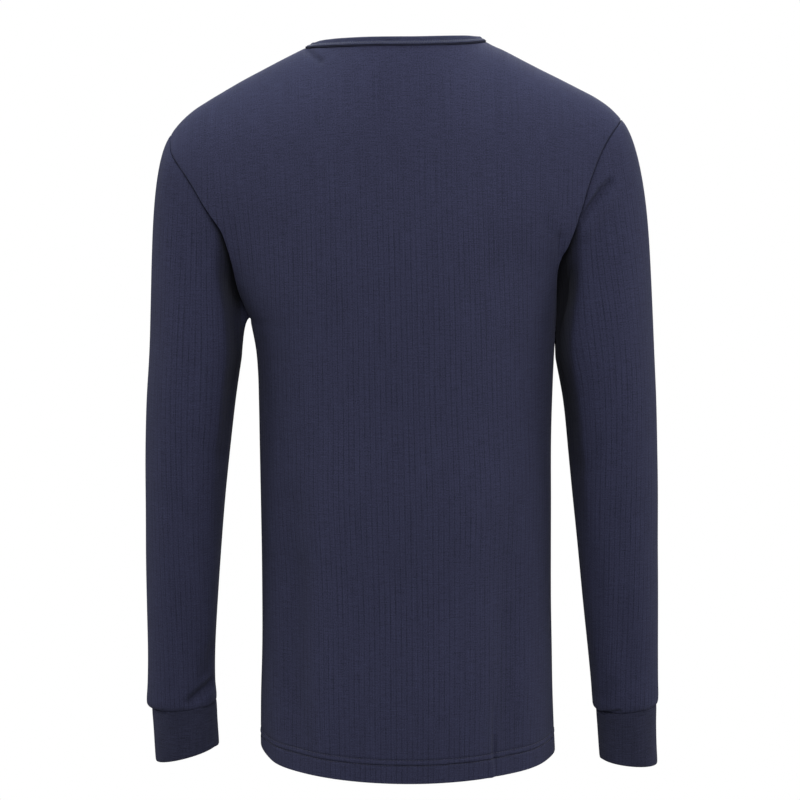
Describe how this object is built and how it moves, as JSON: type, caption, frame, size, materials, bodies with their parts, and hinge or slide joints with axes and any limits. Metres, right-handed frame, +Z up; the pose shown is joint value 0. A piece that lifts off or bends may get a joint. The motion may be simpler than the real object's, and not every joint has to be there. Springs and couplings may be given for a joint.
{
  "type": "thermal top",
  "caption": "Long-sleeved crew-neck thermal top in drop-needle rib knit with ribbed cuffs and a bound neck, filled out to the hollow form of its wearer.",
  "frame": {"origin": "middle of the base of the neck, on the line of the shoulders, where the wearer holds the top up", "axes": "+Z up, from the hem to the neck; the front faces -Y and the back +Y; the wearer's left arm is at +X"},
  "size_m": [0.534, 0.2364, 0.7557],
  "materials": {
    "navy_knit": "fine drop-needle rib knit, matt, slightly fuzzy",
    "navy_rib": "fine double rib knit, matt, darker than the body"
  },
  "bodies": {
    "root": {"back": "navy_knit", "front": "navy_knit", "sleeve_left": "navy_knit", "sleeve_right": "navy_knit", "cuff_left": "navy_rib", "cuff_right": "navy_rib", "neck_band": "navy_rib"}
  },
  "joints": []
}
